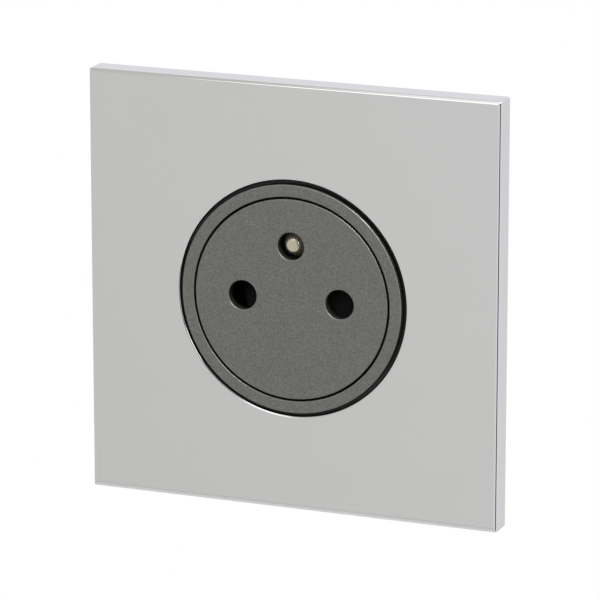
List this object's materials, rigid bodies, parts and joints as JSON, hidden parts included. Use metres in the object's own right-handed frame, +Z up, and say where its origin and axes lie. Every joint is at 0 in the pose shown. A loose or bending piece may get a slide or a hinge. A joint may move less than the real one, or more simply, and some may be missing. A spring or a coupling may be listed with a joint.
{
  "type": "wall socket",
  "caption": "Flush wall socket with a round spring-loaded face disc, two live pin holes, a fixed earth pin, a square metal cover plate and screw terminals",
  "frame": {"origin": "centre of the cover plate, on the wall's surface", "axes": "+Z up and +X to the right as seen from the room, +Y into the wall"},
  "size_m": [0.08, 0.039, 0.08],
  "materials": {
    "plate_chrome": "polished",
    "graphite_paint": "satin metallic paint",
    "zinc_steel": "zinc plated",
    "spring_steel": "drawn wire",
    "black_plastic": "fine moulded",
    "body_plastic": "fine moulded",
    "base_plastic": "fine moulded",
    "pale_plastic": "fine moulded",
    "shutter_plastic": "smooth moulded",
    "nickel_brass": "nickel plated",
    "raw_brass": "rolled sheet"
  },
  "bodies": {
    "housing": {"cover_plate": "plate_chrome", "support_frame": "zinc_steel", "plate_carrier": "black_plastic", "bezel_ring": "graphite_paint", "disc_spring": "spring_steel", "front_body": "body_plastic", "shutter_guide": "pale_plastic", "shutter_spring": "spring_steel", "earth_pin": "nickel_brass", "earth_strap": "raw_brass", "neutral_contact": "raw_brass", "phase_contact": "raw_brass", "neutral_band": "spring_steel", "phase_band": "spring_steel", "neutral_cage": "nickel_brass", "phase_cage": "nickel_brass", "earth_cage": "nickel_brass", "terminal_screws": "zinc_steel", "rear_base": "base_plastic", "case_screws": "zinc_steel"},
    "disc": {"face_disc": "graphite_paint"},
    "shutter": {"shutter": "shutter_plastic"}
  },
  "joints": [
    {"name": "disc_slide", "type": "slide", "parent": "housing", "child": "disc", "axis": [0, 1, 0], "range_m": [0, 0.015], "stiffness_N_per_m": 500, "springref_m": -0.01, "deforming": ["disc_spring"]},
    {"name": "shutter_slide", "type": "slide", "parent": "housing", "child": "shutter", "axis": [0, 0, -1], "range_m": [0, 0.006], "stiffness_N_per_m": 150, "springref_m": -0.004, "deforming": ["shutter_spring"]}
  ]
}
